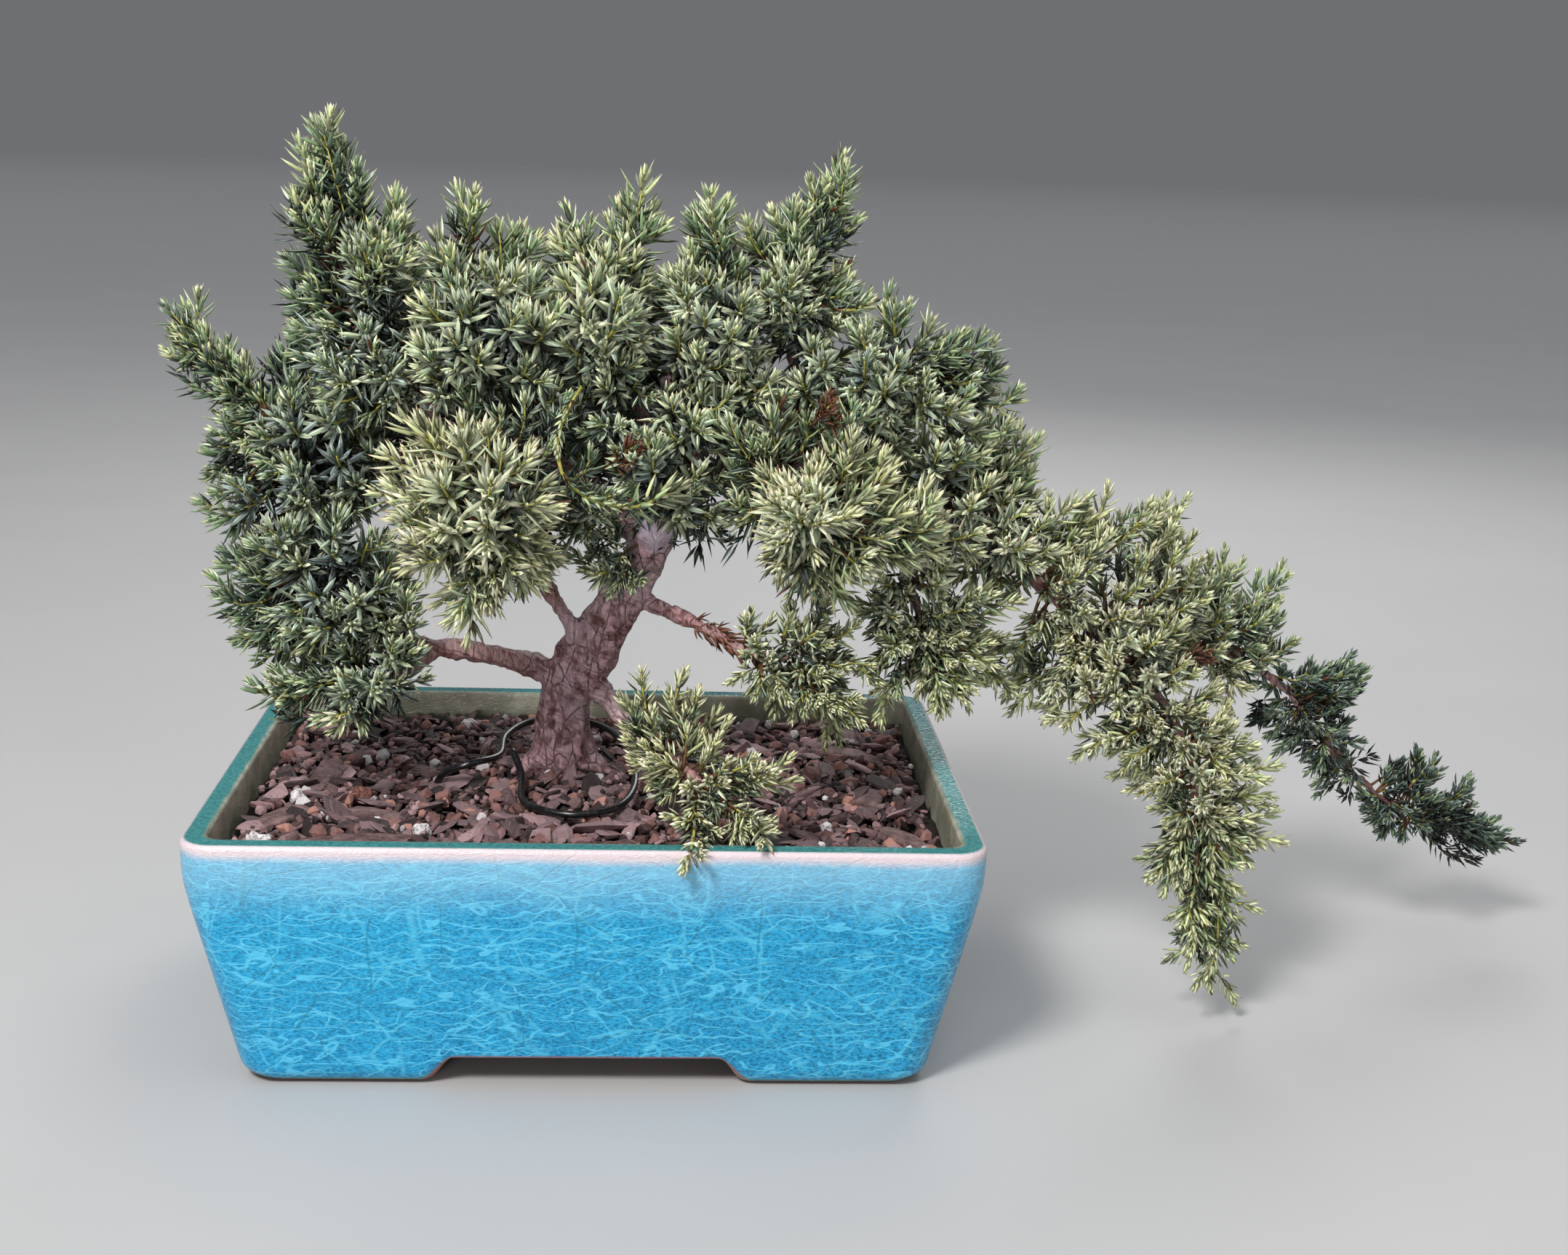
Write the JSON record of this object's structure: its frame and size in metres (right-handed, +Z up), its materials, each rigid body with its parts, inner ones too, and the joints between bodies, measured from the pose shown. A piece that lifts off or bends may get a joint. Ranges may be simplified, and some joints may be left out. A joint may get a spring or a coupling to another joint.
{
  "type": "potted bonsai tree",
  "caption": "Trailing juniper bonsai with needle foliage pads over a leaning trunk, planted in bark and grit in a rectangular crackle-glazed pot on low feet.",
  "frame": {"origin": "on the table, below the middle of the whole object's outer box", "axes": "+X along the pot towards the trailing limb, +Y to the back, +Z up"},
  "size_m": [0.4062, 0.156, 0.241],
  "materials": {
    "glaze": "turquoise crackle glaze, pale on the lip, bare red-brown clay at the foot's edge",
    "screen": "black plastic drainage net",
    "wire": "black coated anchor wire, glossy",
    "soil": "loose mix of crushed bark and grit, dark purple-brown",
    "bark_chip": "flakes of pine bark, matt, brown with grey faces",
    "perlite": "white pitted grit",
    "lava": "red-brown porous gravel",
    "dead_wood": "dry brown twig",
    "bark": "smooth reddish-purple bark with knots and fine scales",
    "foliage": "awl-shaped juniper needles, grey-green to yellow-green with pale blue-white bands"
  },
  "bodies": {
    "root": {"anchor_wire": "wire", "bark_chip_1": "bark_chip", "bark_chip_10": "bark_chip", "bark_chip_2": "bark_chip", "bark_chip_3": "bark_chip", "bark_chip_4": "bark_chip", "bark_chip_5": "bark_chip", "bark_chip_6": "bark_chip", "bark_chip_7": "bark_chip", "bark_chip_8": "bark_chip", "bark_chip_9": "bark_chip", "dead_twig": "dead_wood", "drainage_screen_left": "screen", "drainage_screen_right": "screen", "foliage_back_left": "foliage", "foliage_back_middle": "foliage", "foliage_back_right": "foliage", "foliage_crown_inner_left": "foliage", "foliage_crown_inner_right": "foliage", "foliage_crown_middle": "foliage", "foliage_far_end": "foliage", "foliage_far_runner": "foliage", "foliage_front_left": "foliage", "foliage_front_right": "foliage", "foliage_heart": "foliage", "foliage_left_crown": "foliage", "foliage_left_low": "foliage", "foliage_left_shoulder": "foliage", "foliage_left_side": "foliage", "foliage_left_skirt": "foliage", "foliage_left_spire": "foliage", "foliage_low_front": "foliage", "foliage_low_front_tip": "foliage", "foliage_middle_right": "foliage", "foliage_right_peak": "foliage", "foliage_right_shoulder": "foliage", "foliage_right_side": "foliage", "foliage_right_skirt": "foliage", "foliage_right_skirt_end": "foliage", "foliage_right_slope": "foliage", "foliage_trail_back": "foliage", "foliage_trail_front": "foliage", "foliage_trail_middle": "foliage", "foliage_trail_shoulder": "foliage", "foliage_trail_tip": "foliage", "foliage_trunk_tuft": "foliage", "lava_grain_1": "lava", "lava_grain_2": "lava", "lava_grain_3": "lava", "lava_grain_4": "lava", "lava_grain_5": "lava", "perlite_grain_1": "perlite", "perlite_grain_2": "perlite", "perlite_grain_3": "perlite", "perlite_grain_4": "perlite", "perlite_grain_5": "perlite", "pot": "glaze", "soil": "soil", "trunk": "bark"}
  },
  "joints": []
}
